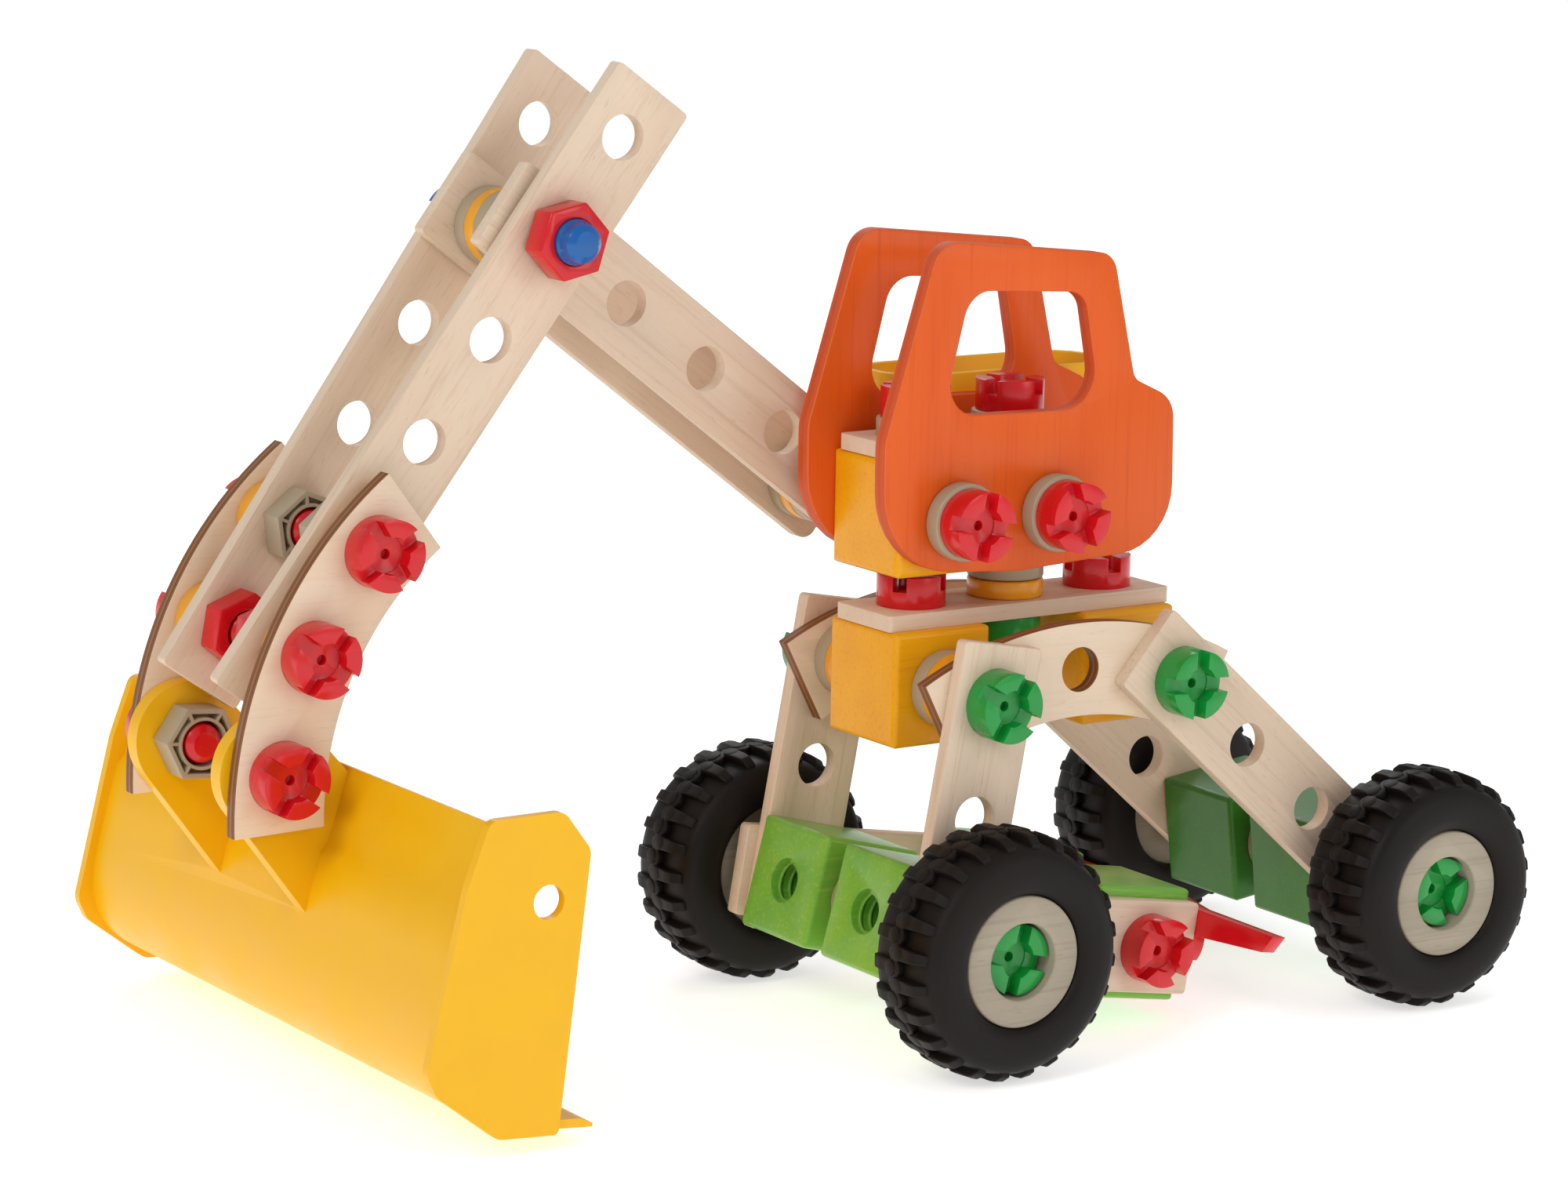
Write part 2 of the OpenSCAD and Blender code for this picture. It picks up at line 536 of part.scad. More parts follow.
chassis_slat();
chassis_cubes();
chassis_grey_rings();
chassis_yellow_rings();
bracket_left();
bracket_right();
front_leg_left();
front_leg_right();
rear_leg_left();
rear_leg_right();
leg_screws();
deck_screws();
front_axle_cubes();
rear_axle_cubes();
axle_cube_spacers();
axle_washers();
axle_screws();
lower_slat_left();
lower_slat_right();
tail_cubes();
tail_side_screws();
tail_bar();
tail_bar_screw();
cab_block();
cab_slat();
cab_panel_left();
cab_panel_right();
cab_washers();
cab_side_screws();
cab_top_screw();
turntable_bolt();
turntable_upper_ring();
turntable_nut();
boom_foot_bolt();
side_tray();
boom_slat_left();
boom_slat_right();
boom_grey_rings();
boom_yellow_rings();
stick_slat_left();
stick_slat_right();
elbow_bolt();
elbow_nut();
stick_rings();
stick_bracket_left();
stick_bracket_right();
stick_screws();
stick_grey_nuts();
stick_red_nuts();
bucket_pivot_screws();
bucket_pivot_nuts();
bucket();
hub_front_left();
tyre_front_left();
hub_front_right();
tyre_front_right();
hub_rear_left();
tyre_rear_left();
hub_rear_right();
tyre_rear_right();
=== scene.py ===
# %% [markdown]
# # A toy backhoe loader from a wooden construction kit
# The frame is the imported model: flat slats, threaded cubes, big plastic bolts, four wheels and a wide bucket.
# This lesson gives every piece its real surface. Most pieces keep their exact shape and only get soft edges,
# because real wood and moulded plastic never end in a knife edge. Tyres and nuts are modelled anew.

# %% Load the frame
import json
import math
import bpy
from mathutils import Matrix, Vector


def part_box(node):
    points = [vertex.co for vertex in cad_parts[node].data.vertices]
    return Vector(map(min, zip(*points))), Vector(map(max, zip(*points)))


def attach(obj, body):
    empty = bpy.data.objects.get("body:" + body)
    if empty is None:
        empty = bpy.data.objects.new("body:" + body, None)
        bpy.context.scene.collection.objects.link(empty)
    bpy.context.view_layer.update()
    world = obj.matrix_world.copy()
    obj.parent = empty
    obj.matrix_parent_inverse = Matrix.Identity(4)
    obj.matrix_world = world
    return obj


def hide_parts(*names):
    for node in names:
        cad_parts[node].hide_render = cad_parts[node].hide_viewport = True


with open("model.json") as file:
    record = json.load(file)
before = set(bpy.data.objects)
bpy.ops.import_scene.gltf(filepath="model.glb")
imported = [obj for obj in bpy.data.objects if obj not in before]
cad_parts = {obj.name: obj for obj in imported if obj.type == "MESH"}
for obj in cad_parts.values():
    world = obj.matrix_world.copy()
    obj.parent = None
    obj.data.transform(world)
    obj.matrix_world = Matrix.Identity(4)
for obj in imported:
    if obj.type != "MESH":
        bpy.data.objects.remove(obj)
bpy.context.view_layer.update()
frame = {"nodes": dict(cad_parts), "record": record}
MM = 0.001
bpy.ops.object.select_all(action="DESELECT")
node_slot = {s["node"]: s["material_slot"] for s in frame["record"]["subparts"]}
node_body = {n: b for b, names in frame["record"]["behaviour"]["bodies"].items() for n in names}
print("nodes loaded:", len(frame["nodes"]))

# %% [markdown]
# ## Camera and light
# A long lens stands in front of the digger's left side, a little above it. The lens is long, so parallel
# edges stay nearly parallel, as in a catalogue picture. Large soft lamps give the broad, pale shine on the plastic.

# %% Camera
LENS = 107.6
YAW, PITCH, ROLL = math.radians(33.73), math.radians(10.63), math.radians(1.04)
EYE = Vector((0.67294, 1.00228, 0.33626))


def aim_camera():
    back = Vector((math.sin(YAW) * math.cos(PITCH), math.cos(YAW) * math.cos(PITCH), math.sin(PITCH)))
    right = Vector((0, 0, 1)).cross(back).normalized()
    up = back.cross(right)
    c, s = math.cos(ROLL), math.sin(ROLL)
    right, up = c * right + s * up, c * up - s * right
    data = bpy.data.cameras.new("camera")
    data.lens, data.sensor_width = LENS, 36
    data.clip_start, data.clip_end = 0.05, 20
    cam = bpy.data.objects.new("camera", data)
    bpy.context.collection.objects.link(cam)
    rot = Matrix((right, up, back)).transposed()
    cam.matrix_world = Matrix.Translation(EYE) @ rot.to_4x4()
    bpy.context.scene.camera = cam
    print("camera stands at", tuple(round(v, 3) for v in EYE))


aim_camera()

# %% Lamps, sky and floor
def soft_lamp(name, place, target, size, power, tint=(1, 1, 1)):
    data = bpy.data.lights.new(name, "AREA")
    data.shape, data.size, data.energy, data.color = "DISK", size, power, tint
    lamp = bpy.data.objects.new(name, data)
    bpy.context.collection.objects.link(lamp)
    lamp.location = place
    lamp.rotation_euler = (Vector(place) - Vector(target)).to_track_quat("Z", "Y").to_euler()


soft_lamp("key_lamp", (1.6, 0.7, 1.5), (0, 0, 0.1), 0.8, 12.5, (1, 0.985, 0.96))
soft_lamp("fill_lamp", (-0.7, 1.7, 0.8), (0, 0, 0.1), 1.0, 5.5)
soft_lamp("back_lamp", (-0.6, -1.4, 1.2), (0, 0, 0.1), 1.0, 5.5)

world = bpy.data.worlds.new("studio")
bpy.context.scene.world = world
world.use_nodes = True
world.node_tree.nodes["Background"].inputs["Color"].default_value = (1, 1, 1, 1)
world.node_tree.nodes["Background"].inputs["Strength"].default_value = 0.46
bpy.context.scene.view_settings.view_transform = "Standard"

bpy.ops.mesh.primitive_plane_add(size=60, location=(0, 0, -0.0004))
floor = bpy.context.object
floor.name = "floor"
print("lamps and floor placed")

# %% [markdown]
# ## Finishes
# Each finish is a small tree of nodes on Object coordinates, so a pattern stays fixed in its piece.
# Wood is stretched noise: long along the fibres and very fine across them. Its fibres follow each slat,
# so the pattern is turned by the slat's own slope.

# %% Material helpers
def linear(code):
    parts = [int(code[i:i + 2], 16) / 255 for i in (1, 3, 5)]
    return tuple(c / 12.92 if c <= 0.04045 else ((c + 0.055) / 1.055) ** 2.4 for c in parts) + (1,)


class Tree:
    """A new material with short ways to add and join nodes."""

    def __init__(self, name, roughness=0.5, coat=0.0, coat_roughness=0.1, shine=0.5):
        self.mat = bpy.data.materials.new(name)
        self.mat.use_nodes = True
        self.nodes, self.links = self.mat.node_tree.nodes, self.mat.node_tree.links
        self.shader = self.nodes["Principled BSDF"]
        self.shader.inputs["Roughness"].default_value = roughness
        self.shader.inputs["Coat Weight"].default_value = coat
        self.shader.inputs["Coat Roughness"].default_value = coat_roughness
        self.shader.inputs["Specular IOR Level"].default_value = shine
        self.place = self.nodes.new("ShaderNodeTexCoord").outputs["Object"]

    def stretched(self, scale, turn=0.0):
        # turn is about Y, so the long direction follows a sloping slat
        node = self.nodes.new("ShaderNodeMapping")
        node.vector_type = "TEXTURE"
        node.inputs["Rotation"].default_value = (0, turn, 0)
        node.inputs["Scale"].default_value = tuple(1 / s for s in scale)
        self.links.new(self.place, node.inputs["Vector"])
        return node.outputs["Vector"]

    def noise(self, vector, scale=1.0, detail=3.0, rough=0.5):
        node = self.nodes.new("ShaderNodeTexNoise")
        for key, value in (("Scale", scale), ("Detail", detail), ("Roughness", rough)):
            node.inputs[key].default_value = value
        self.links.new(vector, node.inputs["Vector"])
        return node.outputs["Fac"]

    def ramp(self, fac, stops):
        node = self.nodes.new("ShaderNodeValToRGB")
        bar = node.color_ramp
        while len(bar.elements) < len(stops):
            bar.elements.new(0.5)
        for element, (at, colour) in zip(bar.elements, stops):
            element.position = at
            element.color = linear(colour) if isinstance(colour, str) else (colour, colour, colour, 1)
        self.links.new(fac, node.inputs["Fac"])
        return node.outputs["Color"]

    def mix(self, a, b, fac, blend="MIX"):
        node = self.nodes.new("ShaderNodeMix")
        node.data_type, node.blend_type = "RGBA", blend
        for value, key in ((fac, 0), (a, 6), (b, 7)):
            if isinstance(value, bpy.types.NodeSocket):
                self.links.new(value, node.inputs[key])
            else:
                node.inputs[key].default_value = linear(value) if isinstance(value, str) else value
        return node.outputs[2]

    def bump(self, height, distance, strength=1.0):
        node = self.nodes.new("ShaderNodeBump")
        node.inputs["Distance"].default_value = distance
        node.inputs["Strength"].default_value = strength
        self.links.new(height, node.inputs["Height"])
        self.links.new(node.outputs["Normal"], self.shader.inputs["Normal"])

    def colour(self, socket):
        self.links.new(socket, self.shader.inputs["Base Color"])

    def roughness(self, fac, low, high):
        self.links.new(self.ramp(fac, ((0.3, low), (0.7, high))), self.shader.inputs["Roughness"])


# %% Wood finishes
def wood(name, turn, pale, warm, dark, coat=0.0, rough=(0.42, 0.6), fleck=0.5, streak=0.55):
    t = Tree(name, coat=coat, coat_roughness=0.18, shine=0.25)
    broad = t.noise(t.stretched((6, 60, 60), turn), 1, 3, 0.55)
    fibres = t.noise(t.stretched((22, 900, 900), turn), 1, 5, 0.6)
    flecks = t.noise(t.stretched((240, 1700, 1700), turn), 1, 2, 0.5)
    base = t.ramp(broad, ((0.3, warm), (0.7, pale)))
    base = t.mix(base, dark, t.ramp(fibres, ((0.52, 0.0), (0.8, streak))))
    base = t.mix(base, dark, t.ramp(flecks, ((0.62, 0.0), (0.75, fleck))))
    t.colour(base)
    t.roughness(fibres, *rough)
    t.bump(fibres, 0.00006, 0.6)
    return t.mat


def natural(name, turn):
    return wood(name, turn, "#E6D0B9", "#DDC5AC", "#BA9674", fleck=0.3, streak=0.4)


def stained(name, pale, warm, dark, turn=0.0, coat=0.12):
    return wood(name, turn, pale, warm, dark, coat=coat, rough=(0.28, 0.42), fleck=0.25)


def layered_edge(name, box, stops):
    # the cut edge of plywood: thin layers through the thickness, which lies along Y
    t = Tree(name, 0.6)
    node = t.nodes.new("ShaderNodeMapping")
    node.vector_type = "TEXTURE"
    node.inputs["Location"].default_value = (0, box[0][1], 0)
    node.inputs["Scale"].default_value = (1, box[1][1] - box[0][1], 1)
    t.links.new(t.place, node.inputs["Vector"])
    split = t.nodes.new("ShaderNodeSeparateXYZ")
    t.links.new(node.outputs["Vector"], split.inputs["Vector"])
    layers = t.ramp(split.outputs["Y"], stops)
    speck = t.noise(t.stretched((500, 1400, 500)), 1, 4, 0.6)
    t.colour(t.mix(layers, "#3B2212", t.ramp(speck, ((0.55, 0.0), (0.85, 0.35)))))
    t.bump(speck, 0.00012, 0.7)
    return t.mat


# %% Plastic and rubber finishes
def plastic(name, colour, deep, roughness=0.28, coat=0.3, grain=0.00003, glow=0.0):
    t = Tree(name, roughness, coat=coat, coat_roughness=0.12, shine=0.35)
    cloud = t.noise(t.stretched((70, 70, 70)), 1, 3, 0.5)
    skin = t.noise(t.stretched((1500, 1500, 1500)), 1, 2, 0.5)
    t.colour(t.ramp(cloud, ((0.3, deep), (0.7, colour))))
    t.roughness(cloud, roughness * 0.8, roughness * 1.25)
    t.bump(skin, grain, 0.5)
    t.shader.inputs["Subsurface Weight"].default_value = glow
    t.shader.inputs["Subsurface Radius"].default_value = (0.003, 0.0015, 0.0006)
    return t.mat


def tyre_rubber():
    t = Tree("tyre_rubber", 0.55, shine=0.2)
    cloud = t.noise(t.stretched((45, 45, 45)), 1, 4, 0.6)
    dust = t.noise(t.stretched((900, 900, 900)), 1, 3, 0.6)
    base = t.ramp(cloud, ((0.35, "#110D0B"), (0.7, "#1A1411")))
    t.colour(t.mix(base, "#40372F", t.ramp(dust, ((0.72, 0.0), (0.82, 0.3)))))
    t.roughness(cloud, 0.42, 0.62)
    t.bump(dust, 0.00005, 0.6)
    return t.mat


finish = {
    "yellow_wood": stained("yellow_stained_wood", "#F6B20A", "#EFA506", "#CF8506"),
    "green_wood": stained("green_stained_wood", "#82BA42", "#6CAC38", "#B2CE52", coat=0.3),
    "hub_wood": wood("wheel_wood", 0.0, "#B0A591", "#A09582", "#7F7463", fleck=0.3, streak=0.45),
    "yellow_ring": plastic("yellow_ring_plastic", "#F3AE2A", "#E99C15", 0.3, 0.2, glow=0.12),
    "grey_plastic": plastic("grey_plastic", "#B0A188", "#A8997F", 0.4, 0.1),
    "red_plastic": plastic("red_plastic", "#D8141E", "#D0101A", 0.25, 0.25, glow=0.04),
    "green_plastic": plastic("green_plastic", "#129A3C", "#0E8F37", 0.25, 0.25, glow=0.04),
    "blue_plastic": plastic("blue_plastic", "#0A63B0", "#085AA2", 0.25, 0.25),
    "bucket_plastic": plastic("bucket_plastic", "#F4BA06", "#F2B604", 0.38, 0.04, grain=0.000004),
    "tyre": tyre_rubber(),
}
orange_face = stained("orange_stained_ply", "#E5611A", "#DF5915", "#C8490E", turn=math.radians(90), coat=0.05)
bracket_face = wood("bracket_ply", 0.0, "#EAD5BD", "#E2CAAE", "#C8A783", fleck=0.25, streak=0.25)
# painted shade: the rear cubes take a darker copy of the green stain, the colour of the green cubes' shaded sides
rear_cube_painted_shade_green = stained("rear_cube_green_painted_shade", "#3D7F2A", "#357424", "#559233", coat=0.2)

floor_tree = Tree("pale_floor", 0.9)
paleness = floor_tree.noise(floor_tree.stretched((3, 3, 3)))
floor_tree.colour(floor_tree.ramp(paleness, ((0.3, "#F4F4F3"), (0.7, "#F8F8F7"))))
floor_tree.shader.inputs["Emission Color"].default_value = (1, 1, 1, 1)
floor_tree.shader.inputs["Emission Strength"].default_value = 0.6
floor.data.materials.append(floor_tree.mat)
print("finishes made:", len(bpy.data.materials))

# %% [markdown]
# ## Which way the fibres run
# Every slat was cut along the grain. The slopes below are those of the legs, the boom and the stick,
# measured from each slat's own box, so they follow the design if it changes.

# %% Slopes of the slats
SLAT_WIDTH = 0.0244


def slope_of(node, sign):
    low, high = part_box(node)
    run, rise = high[0] - low[0], high[2] - low[2]
    if min(rise, run) < 0.4 * SLAT_WIDTH:
        return 0.0
    # a slat of width w and length l at slope a: run = l cos a + w sin a, rise = l sin a + w cos a
    w = SLAT_WIDTH
    best = min((abs(math.tan(a) * (run - w * math.sin(a)) - (rise - w * math.cos(a))), a)
               for a in (math.radians(d / 4) for d in range(8, 356)))
    return sign * best[1]


SIGN = {"front_leg": 1, "rear_leg": -1, "lower_slat": -1, "boom_slat": -1, "stick_slat": 1}
slat_finish = {}
for node in frame["nodes"]:
    if node_slot[node] == "natural_wood":
        kind = next((k for k in SIGN if node.startswith(k)), None)
        turn = slope_of(node, SIGN[kind]) if kind else 0.0
        key = kind or "level_slat"
        if key not in slat_finish:
            slat_finish[key] = natural("natural_wood_" + key, turn)
            print(key, "fibres turned", round(math.degrees(turn), 1))

# %% [markdown]
# ## Soft edges
# A bevelled copy stands in for most frame pieces. The copy's loose triangles are merged and its flat faces joined,
# then a Bevel modifier rounds every sharp edge by a few tenths of a millimetre. That thin band catches the light
# just as a sanded slat or a moulded bolt does.

# %% Soft-edged copy of a frame piece
SMOOTH_BELOW = 35       # degrees between faces that shade as one
BUCKET_SMOOTH_BELOW = 20    # lower, so the bucket keeps its folds


def select_only(obj):
    bpy.ops.object.select_all(action="DESELECT")
    obj.select_set(True)
    bpy.context.view_layer.objects.active = obj


def softened(node, width, smooth=SMOOTH_BELOW):
    source = frame["nodes"][node]
    piece = bpy.data.objects.new(node + ".soft", source.data.copy())
    bpy.context.collection.objects.link(piece)
    piece.data.materials.clear()
    select_only(piece)
    bpy.ops.object.mode_set(mode="EDIT")
    bpy.ops.mesh.select_all(action="SELECT")
    bpy.ops.mesh.remove_doubles(threshold=0.00001)
    bpy.ops.mesh.dissolve_limited(angle_limit=math.radians(0.6))
    bpy.ops.object.mode_set(mode="OBJECT")
    mod = piece.modifiers.new("soft_edges", "BEVEL")
    mod.width, mod.segments = width, 2
    mod.limit_method, mod.angle_limit = "ANGLE", math.radians(30)
    mod.miter_outer = "MITER_ARC"
    bpy.ops.object.modifier_apply(modifier=mod.name)
    bpy.ops.object.shade_smooth_by_angle(angle=math.radians(smooth))
    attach(piece, node_body[node])
    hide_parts(node)
    return piece


def paint(piece, face, edge=None):
    # edge goes on the faces that look along X or Z: the cut edge of a plate that stands across Y
    piece.data.materials.append(face)
    if edge:
        piece.data.materials.append(edge)
        for poly in piece.data.polygons:
            poly.material_index = 1 if abs(poly.normal.y) < 0.5 else 0


# %% Slats, cubes, bolts, rings and panels
EDGE = {"natural_wood": 0.45, "yellow_wood": 0.5, "green_wood": 0.5, "bracket_ply": 0.2, "orange_ply": 0.35,
        "red_plastic": 0.6, "green_plastic": 0.6, "blue_plastic": 0.6, "grey_plastic": 0.5,
        "yellow_ring": 0.6, "hub_wood": 0.5, "bucket_plastic": 0.45}
BURNT = ((0.0, "#9A6234"), (0.3, "#6E4220"), (0.5, "#A26C3C"), (0.7, "#6A3E1E"), (1.0, "#9A6234"))
PLY = ((0.0, "#E58A52"), (0.08, "#D9541B"), (0.45, "#C84A14"), (0.55, "#D2521C"), (0.92, "#D9541B"), (1.0, "#E58A52"))
pieces = {}
for node in sorted(frame["nodes"]):
    slot = node_slot[node]
    if slot == "tyre" or node in ("stick_grey_nuts", "bucket_pivot_nuts"):
        continue
    smooth = BUCKET_SMOOTH_BELOW if node == "bucket" else SMOOTH_BELOW
    piece = pieces[node] = softened(node, EDGE[slot] * MM, smooth)
    if slot == "natural_wood":
        paint(piece, slat_finish[next((k for k in SIGN if node.startswith(k)), "level_slat")])
    elif slot == "bracket_ply":
        paint(piece, bracket_face, layered_edge(node + "_burnt_edge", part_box(node), BURNT))
    elif slot == "orange_ply":
        paint(piece, orange_face, layered_edge(node + "_ply_edge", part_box(node), PLY))
    # the rear cubes get the darker green copy, which is painted shade
    elif node == "rear_axle_cubes":
        paint(piece, rear_cube_painted_shade_green)
    else:
        paint(piece, finish[slot])
print("soft pieces:", len(pieces))

# %% [markdown]
# ## Tyres
# Each tyre is one black rubber moulding: a bulging side wall, a raised zigzag band round the crown with a round boss
# at each bend, and a finger-shaped bar from the band to each shoulder. The carcass is spun from its half section,
# one bar, one band link and one boss are modelled, and they are copied round the tyre.

# %% Spin a section into a ring
def drawn_line(points):
    # one vertex, extruded from point to point
    bpy.ops.object.select_all(action="DESELECT")
    bpy.ops.mesh.primitive_plane_add(size=0.001, location=(0, 0, 0))
    obj = bpy.context.object
    bpy.ops.object.mode_set(mode="EDIT")
    bpy.ops.mesh.select_all(action="SELECT")
    bpy.ops.mesh.merge(type="CENTER")
    bpy.ops.transform.translate(value=points[0])
    for a, b in zip(points, points[1:]):
        step = Vector(b) - Vector(a)
        bpy.ops.mesh.extrude_region_move(TRANSFORM_OT_translate={"value": step})
    return obj


def spun(name, section, steps=96):
    # section is (radius, place along Y) in millimetres, closed, and is turned round the Y axis
    points = [(r * MM, y * MM, 0) for r, y in section]
    obj = drawn_line(points + points[:1])
    obj.name = name
    bpy.ops.mesh.select_all(action="SELECT")
    bpy.ops.mesh.spin(steps=steps, angle=2 * math.pi, center=(0, 0, 0), axis=(0, 1, 0))
    bpy.ops.mesh.select_all(action="SELECT")
    bpy.ops.mesh.remove_doubles(threshold=0.00002)
    bpy.ops.mesh.normals_make_consistent(inside=False)
    bpy.ops.object.mode_set(mode="OBJECT")
    return obj


def placed(obj):
    select_only(obj)
    bpy.ops.object.transform_apply(location=True, rotation=True, scale=True)
    return obj


def joined(name, parts):
    bpy.ops.object.select_all(action="DESELECT")
    for p in parts:
        p.select_set(True)
    bpy.context.view_layer.objects.active = parts[0]
    bpy.ops.object.join()
    parts[0].name = name
    return parts[0]


def copied_round(obj, turns):
    out = []
    for turn in turns:
        twin = bpy.data.objects.new(obj.name + "_twin", obj.data.copy())
        bpy.context.collection.objects.link(twin)
        twin.data.transform(Matrix.Rotation(turn, 4, "Y"))
        out.append(twin)
    bpy.data.objects.remove(obj)
    return out


# %% One tyre at the origin, its outer face towards +Y
TYRE_R, HALF_W, RIM_R, BARS = 31.7, 13.3, 16.8, 24
CROWN = TYRE_R - 2.1
SIDE = [(RIM_R, 10.2), (17.5, 11.9), (18.8, 12.9), (20.6, 13.3), (23.4, 13.3), (26.0, 12.9), (27.8, 11.9), (28.8, 10.4),
        (29.2, 8.4), (29.4, 5.5), (CROWN, 2)]
SECTION = SIDE + [(r, -y) for r, y in reversed(SIDE)]


def shaped_block(name, size, at, bevel, taper=None):
    bpy.ops.object.select_all(action="DESELECT")
    bpy.ops.mesh.primitive_cube_add(size=1, location=[v * MM for v in at])
    obj = bpy.context.object
    obj.name = name
    obj.scale = [v * MM for v in size]
    placed(obj)
    if taper:
        taper(obj)
    mod = obj.modifiers.new("round", "BEVEL")
    mod.width, mod.segments, mod.limit_method = bevel * MM, 2, "NONE"
    bpy.ops.object.modifier_apply(modifier=mod.name)
    return obj


def finger(obj):
    # the bar narrows towards the shoulder and bends down over it
    bpy.ops.object.mode_set(mode="EDIT")
    bpy.ops.mesh.select_all(action="SELECT")
    bpy.ops.mesh.subdivide(number_cuts=3)
    bpy.ops.object.mode_set(mode="OBJECT")
    for v in obj.data.vertices:
        y = v.co.y / MM
        v.co.z -= (max(0.0, y - 6.5) ** 2) * 0.12 * MM
        v.co.x *= 1.12 - 0.03 * y


def tyre_model():
    carcass = spun("tyre", SECTION)
    bar = shaped_block("bar", (3.4, 9.8, 3.4), (0, 5.7, TYRE_R - 1.75), 0.5, finger)
    bar_twin = bpy.data.objects.new("bar_back", bar.data.copy())
    bpy.context.collection.objects.link(bar_twin)
    bar_twin.data.transform(Matrix.Rotation(math.pi, 4, "Z"))
    step = 2 * math.pi / BARS
    link_len = math.hypot(math.pi * TYRE_R / BARS, 2.6) + 1.2
    links = []
    for side in (-1, 1):
        link = shaped_block("link", (link_len, 2.6, 3.0), (0, 0, TYRE_R - 1.75), 0.5)
        link.rotation_euler = (0, 0, side * math.atan2(2.6, math.pi * TYRE_R / BARS))
        placed(link)
        links += copied_round(link, [step * (k + 0.25 * (1 + side) + 0.25) for k in range(BARS)])
    bosses = []
    for side in (-1, 1):
        bpy.ops.object.select_all(action="DESELECT")
        bpy.ops.mesh.primitive_cylinder_add(vertices=20, radius=2.1 * MM, depth=3 * MM,
                                            location=(0, side * 1.3 * MM, (TYRE_R - 1.4) * MM))
        boss = placed(bpy.context.object)
        mod = boss.modifiers.new("round", "BEVEL")
        mod.width, mod.segments, mod.limit_method = 0.4 * MM, 2, "ANGLE"
        bpy.ops.object.modifier_apply(modifier=mod.name)
        bosses += copied_round(boss, [step * (k + (0.5 if side > 0 else 0.0)) for k in range(BARS)])
    front = copied_round(bar, [step * (k + 0.5) for k in range(BARS)])
    back = copied_round(bar_twin, [step * k for k in range(BARS)])
    tyre = joined("tyre_master", [carcass] + front + back + links + bosses)
    select_only(tyre)
    bpy.ops.object.shade_smooth_by_angle(angle=math.radians(38))
    return tyre


tyre_master = tyre_model()
tyre_master.data.materials.append(finish["tyre"])
print("tyre faces:", len(tyre_master.data.polygons))

# %% Put a tyre on each wheel
for node in sorted(n for n in frame["nodes"] if n.startswith("tyre_")):
    low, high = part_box(node)
    centre = (Vector(low) + Vector(high)) / 2
    tyre = bpy.data.objects.new(node + ".moulded", tyre_master.data.copy())
    bpy.context.collection.objects.link(tyre)
    turn = Matrix.Rotation(math.pi, 4, "Z") if node.endswith("right") else Matrix.Identity(4)
    tyre.data.transform(Matrix.Translation(centre) @ turn)
    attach(tyre, node_body[node])
    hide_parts(node)
bpy.data.objects.remove(tyre_master)

# %% [markdown]
# ## Hollow nuts
# The grey nuts are moulded hollow: a ring round the bore, six outer walls, and a pocket in each corner.
# A hexagonal cylinder is bored and its pockets are cut with a Boolean modifier. A thin rib reaches each corner.

# %% Grey nuts
def cut(obj, cutter):
    mod = obj.modifiers.new("cut", "BOOLEAN")
    mod.object, mod.operation, mod.solver = cutter, "DIFFERENCE", "EXACT"
    select_only(obj)
    bpy.ops.object.modifier_apply(modifier=mod.name)
    bpy.data.objects.remove(cutter)


def cylinder(radius, depth, at, sides=48, turn=0.0):
    bpy.ops.object.select_all(action="DESELECT")
    bpy.ops.mesh.primitive_cylinder_add(vertices=sides, radius=radius * MM, depth=depth * MM,
                                        location=[v * MM for v in at], rotation=(0, 0, turn))
    return placed(bpy.context.object)


NUT_FLATS, NUT_THICK = 17.6, 8.0
BORE_R, COLLAR_R = 5.85, 6.7   # the bore, and the ring that is left round it
WALL, RIB = 1.2, 0.8


def hollow_nut(flats=NUT_FLATS, thick=NUT_THICK):
    nut = cylinder(flats / math.sqrt(3), thick, (0, 0, 0), 6, math.radians(30))
    cut(nut, cylinder(BORE_R, thick + 2, (0, 0, 0)))
    # the pocket is a hexagon less the ring round the bore and less a thin rib to each corner
    floor_at = (0, 0, thick / 2 - 0.5)
    pocket = cylinder((flats - 2 * WALL) / math.sqrt(3), 6, floor_at, 6, math.radians(30))
    cut(pocket, cylinder(COLLAR_R, 8, floor_at))
    for k in range(3):
        bpy.ops.object.select_all(action="DESELECT")
        bpy.ops.mesh.primitive_cube_add(size=1, location=[v * MM for v in floor_at],
                                        rotation=(0, 0, math.radians(60 * k)))
        rib = bpy.context.object
        rib.scale = (24 * MM, RIB * MM, 8 * MM)
        cut(pocket, placed(rib))
    cut(nut, pocket)
    mod = nut.modifiers.new("soft", "BEVEL")
    mod.width, mod.segments = 0.15 * MM, 2
    mod.limit_method, mod.angle_limit = "ANGLE", math.radians(40)
    select_only(nut)
    bpy.ops.object.modifier_apply(modifier=mod.name)
    bpy.ops.object.shade_smooth_by_angle(angle=math.radians(35))
    return nut


nut_master = hollow_nut()
nut_master.data.materials.append(finish["grey_plastic"])
for node, turn in (("stick_grey_nuts", 8), ("bucket_pivot_nuts", 25)):
    low, high = (Vector(v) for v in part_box(node))
    middle = (low + high) / 2
    both = []
    for y, towards in ((high.y - NUT_THICK / 2 * MM, 1), (low.y + NUT_THICK / 2 * MM, -1)):
        nut = bpy.data.objects.new(node + ".half", nut_master.data.copy())
        bpy.context.collection.objects.link(nut)
        # the pockets face the gap between the two nuts
        face = Matrix.Rotation(math.radians(90 * towards), 4, "X")
        spin = Matrix.Rotation(math.radians(30 - turn if towards > 0 else turn - 30), 4, "Z")
        nut.data.transform(Matrix.Translation((middle.x, y, middle.z)) @ face @ spin)
        both.append(nut)
    pair = joined(node + ".hollow", both)
    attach(pair, node_body[node])
    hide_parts(node)
bpy.data.objects.remove(nut_master)
print("hollow nuts made")

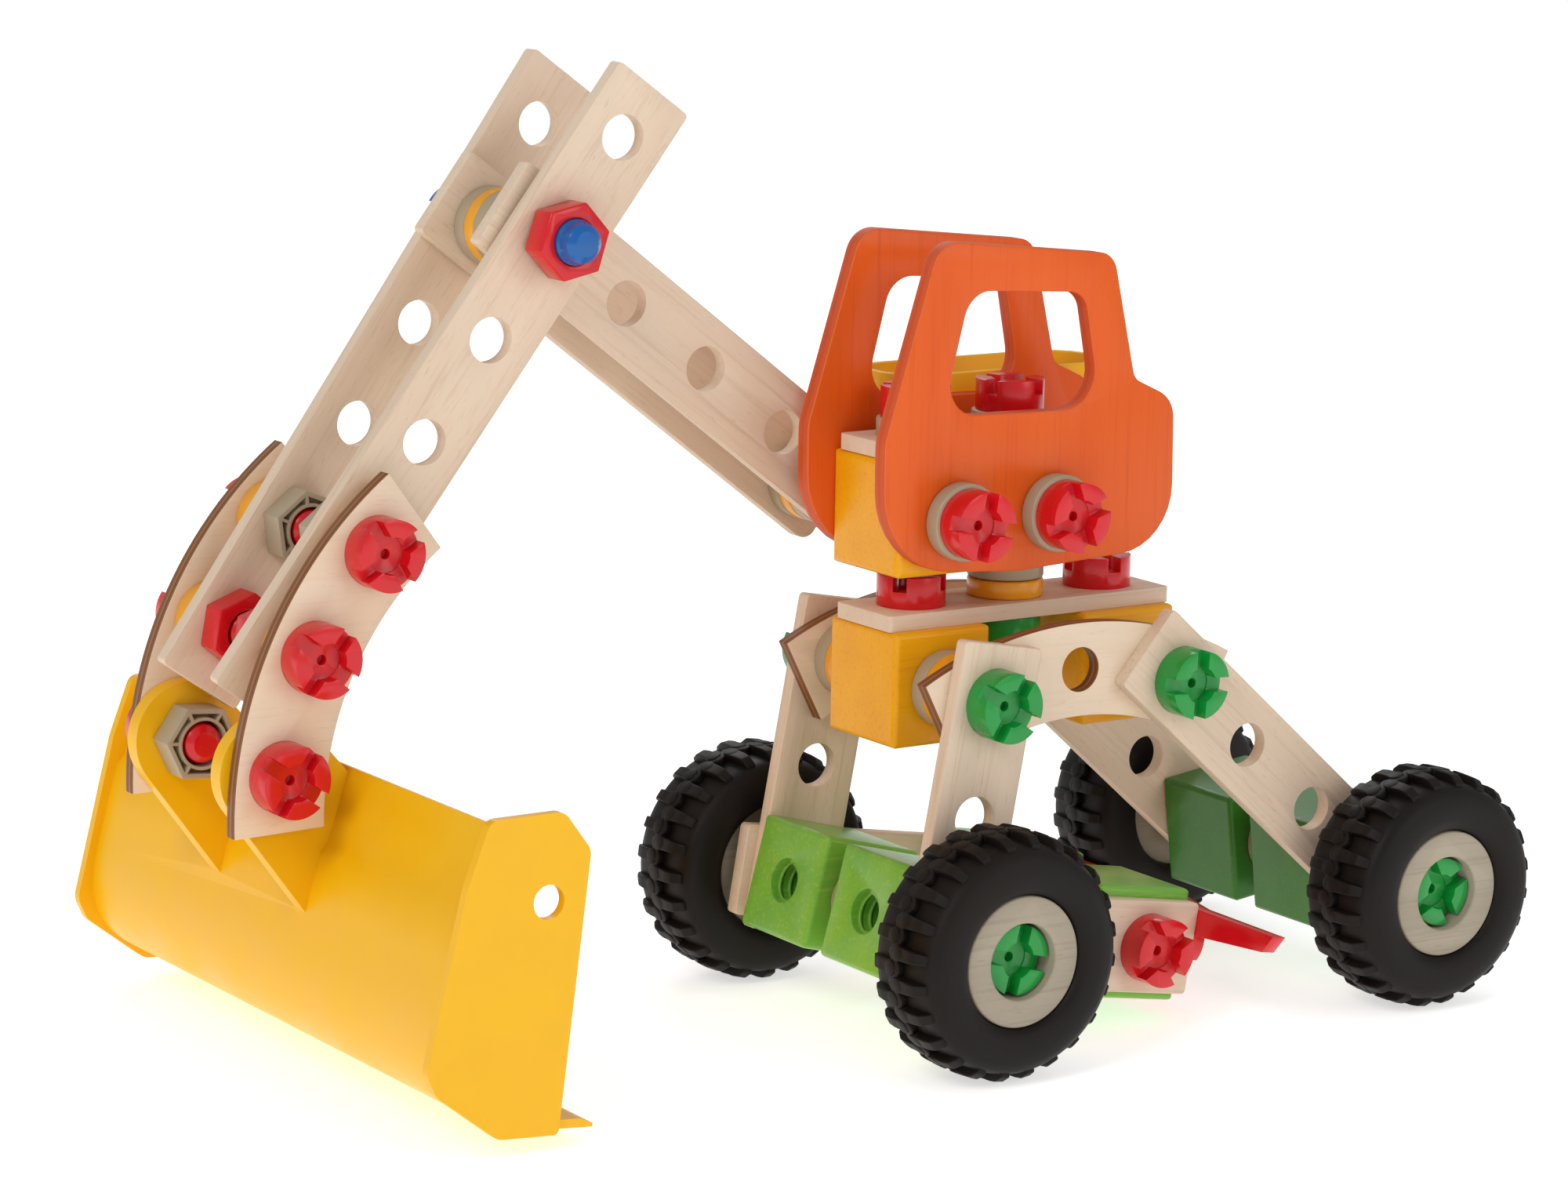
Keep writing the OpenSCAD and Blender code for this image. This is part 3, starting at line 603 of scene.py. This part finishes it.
# %% [markdown]
# ## Threads in the cubes
# The cubes are nuts as well as bricks: each open hole shows a coarse thread. A small triangle is swept along a
# helix with the Screw modifier, and its ends are closed. One coil sits in the mouth of each front hole.

# %% Coarse thread in the front holes
def thread_coil(turns=2.6, lead=3.2, radius=5.75):
    bpy.ops.object.select_all(action="DESELECT")
    bpy.ops.mesh.primitive_circle_add(vertices=3, radius=1.0 * MM, location=(radius * MM, 0, 0),
                                      rotation=(math.radians(90), 0, 0))
    coil = placed(bpy.context.object)
    mod = coil.modifiers.new("thread", "SCREW")
    mod.axis, mod.angle, mod.screw_offset = "Z", 2 * math.pi * turns, lead * turns * MM
    mod.steps = mod.render_steps = 90
    bpy.ops.object.modifier_apply(modifier=mod.name)
    bpy.ops.object.mode_set(mode="EDIT")
    bpy.ops.mesh.select_all(action="SELECT")
    bpy.ops.mesh.remove_doubles(threshold=0.000001)
    bpy.ops.mesh.select_all(action="DESELECT")
    bpy.ops.mesh.select_non_manifold()
    bpy.ops.mesh.fill()
    bpy.ops.mesh.select_all(action="SELECT")
    bpy.ops.mesh.normals_make_consistent(inside=False)
    bpy.ops.object.mode_set(mode="OBJECT")
    return coil


CUBE_TILT = math.radians(15)
HALF_CUBE = 15
MOUTH_DEPTH = 0.8        # the coil starts this far inside the hole
low, high = (Vector(v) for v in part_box("front_axle_cubes"))
mid = (low + high) / 2
ahead = Vector((math.cos(CUBE_TILT), 0, math.sin(CUBE_TILT)))
coil_master = thread_coil()
coils = []
for y in (high.y - HALF_CUBE * MM, low.y + HALF_CUBE * MM):
    coil = bpy.data.objects.new("coil", coil_master.data.copy())
    bpy.context.collection.objects.link(coil)
    mouth = Vector((mid.x, y, mid.z)) + ahead * (HALF_CUBE - MOUTH_DEPTH) * MM
    coil.data.transform(Matrix.Translation(mouth) @ Matrix.Rotation(math.radians(-90) - CUBE_TILT, 4, "Y"))
    coils.append(coil)
bpy.data.objects.remove(coil_master)
threads = joined("front_cube_threads", coils)
threads.data.materials.append(finish["green_wood"])
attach(threads, "chassis")
print("threads faces:", len(threads.data.polygons))
